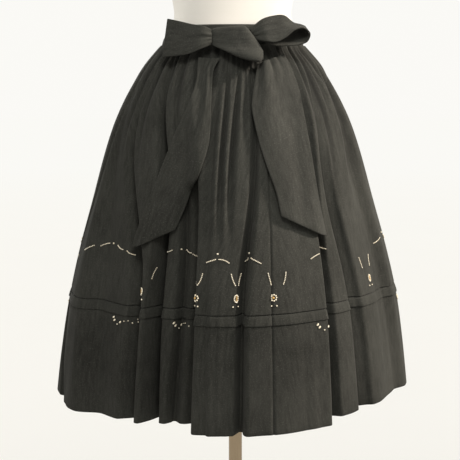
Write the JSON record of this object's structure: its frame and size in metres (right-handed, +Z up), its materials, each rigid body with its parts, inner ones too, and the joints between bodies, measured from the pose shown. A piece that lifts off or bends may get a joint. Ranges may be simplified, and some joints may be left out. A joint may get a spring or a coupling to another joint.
{
  "type": "gathered skirt with a tied sash on a dress form stand",
  "caption": "Knee-length gathered wool skirt with a sash bow and a stitched tuck above its hem band, worn by a limbless dress form on a pole with a round foot.",
  "frame": {"origin": "centre of the stand foot's underside, on the floor", "axes": "+Z up along the pole, -Y towards the front of the skirt where the bow is tied, +X to the right of someone looking at that front"},
  "size_m": [0.5972, 0.6085, 1.45],
  "materials": {
    "wool": "matt brushed black wool flannel",
    "form_cover": "smooth off-white jersey cover",
    "steel": "satin steel",
    "beads": "cream and pale gold glass seed beads",
    "thread": "black sewing thread"
  },
  "bodies": {
    "root": {"stand_foot": "steel", "stand_post": "steel", "form_torso": "form_cover", "waistband": "wool", "sash_wrap": "wool", "bow_knot": "wool", "bow_loop_left": "wool", "bow_loop_right": "wool", "tail_left": "wool", "tail_right": "wool", "upper_panel_1": "wool", "upper_panel_2": "wool", "upper_panel_3": "wool", "upper_panel_4": "wool", "lower_panel_1": "wool", "lower_panel_2": "wool", "lower_panel_3": "wool", "lower_panel_4": "wool"}
  },
  "joints": []
}
